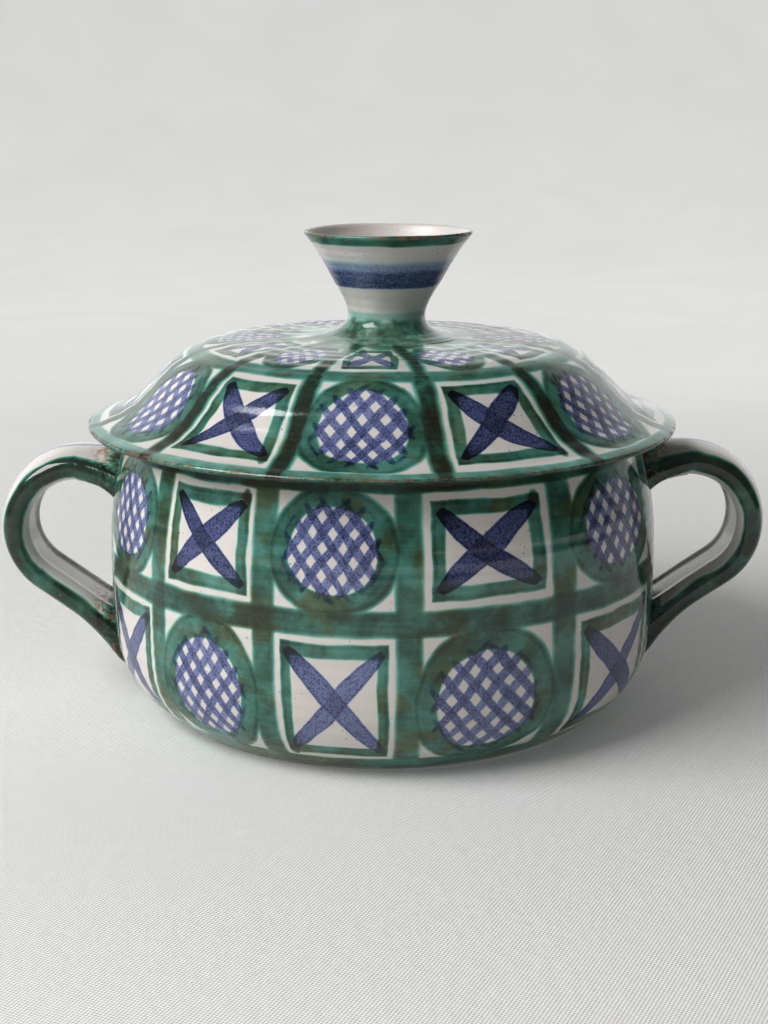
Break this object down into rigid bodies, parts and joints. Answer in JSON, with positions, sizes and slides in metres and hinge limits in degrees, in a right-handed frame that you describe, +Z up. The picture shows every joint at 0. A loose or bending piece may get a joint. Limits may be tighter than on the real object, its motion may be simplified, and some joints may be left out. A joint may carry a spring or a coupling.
{
  "type": "lidded casserole pot",
  "caption": "Round two-handled lidded cooking pot of painted, tin-glazed earthenware: leaning wall, strap handles, overhanging domed lid that lifts off and turns, funnel knob.",
  "frame": {"origin": "centre of the flat base, on the surface the pot stands on", "axes": "+Z up out of the mouth, +X through the two handles towards the right handle, -Y towards the front"},
  "size_m": [0.346, 0.262, 0.2137],
  "materials": {
    "bowl_glaze": "gloss",
    "handle_glaze": "gloss",
    "lid_glaze": "gloss",
    "ring_glaze": "gloss",
    "knob_glaze": "gloss"
  },
  "bodies": {
    "pot": {"pot_bowl": "bowl_glaze", "left_handle": "handle_glaze", "right_handle": "handle_glaze"},
    "seat_ring": {"lid_locating_ring": "ring_glaze"},
    "lid": {"lid_dome": "lid_glaze", "lid_knob": "knob_glaze"}
  },
  "joints": [
    {"name": "lid_lift", "type": "slide", "parent": "pot", "child": "seat_ring", "axis": [0, 0, 1], "range_m": [0, 0.09]},
    {"name": "lid_turn", "type": "hinge", "parent": "seat_ring", "child": "lid", "pos_m": [0, 0, 0.1275], "axis": [0, 0, 1], "continuous": true}
  ]
}
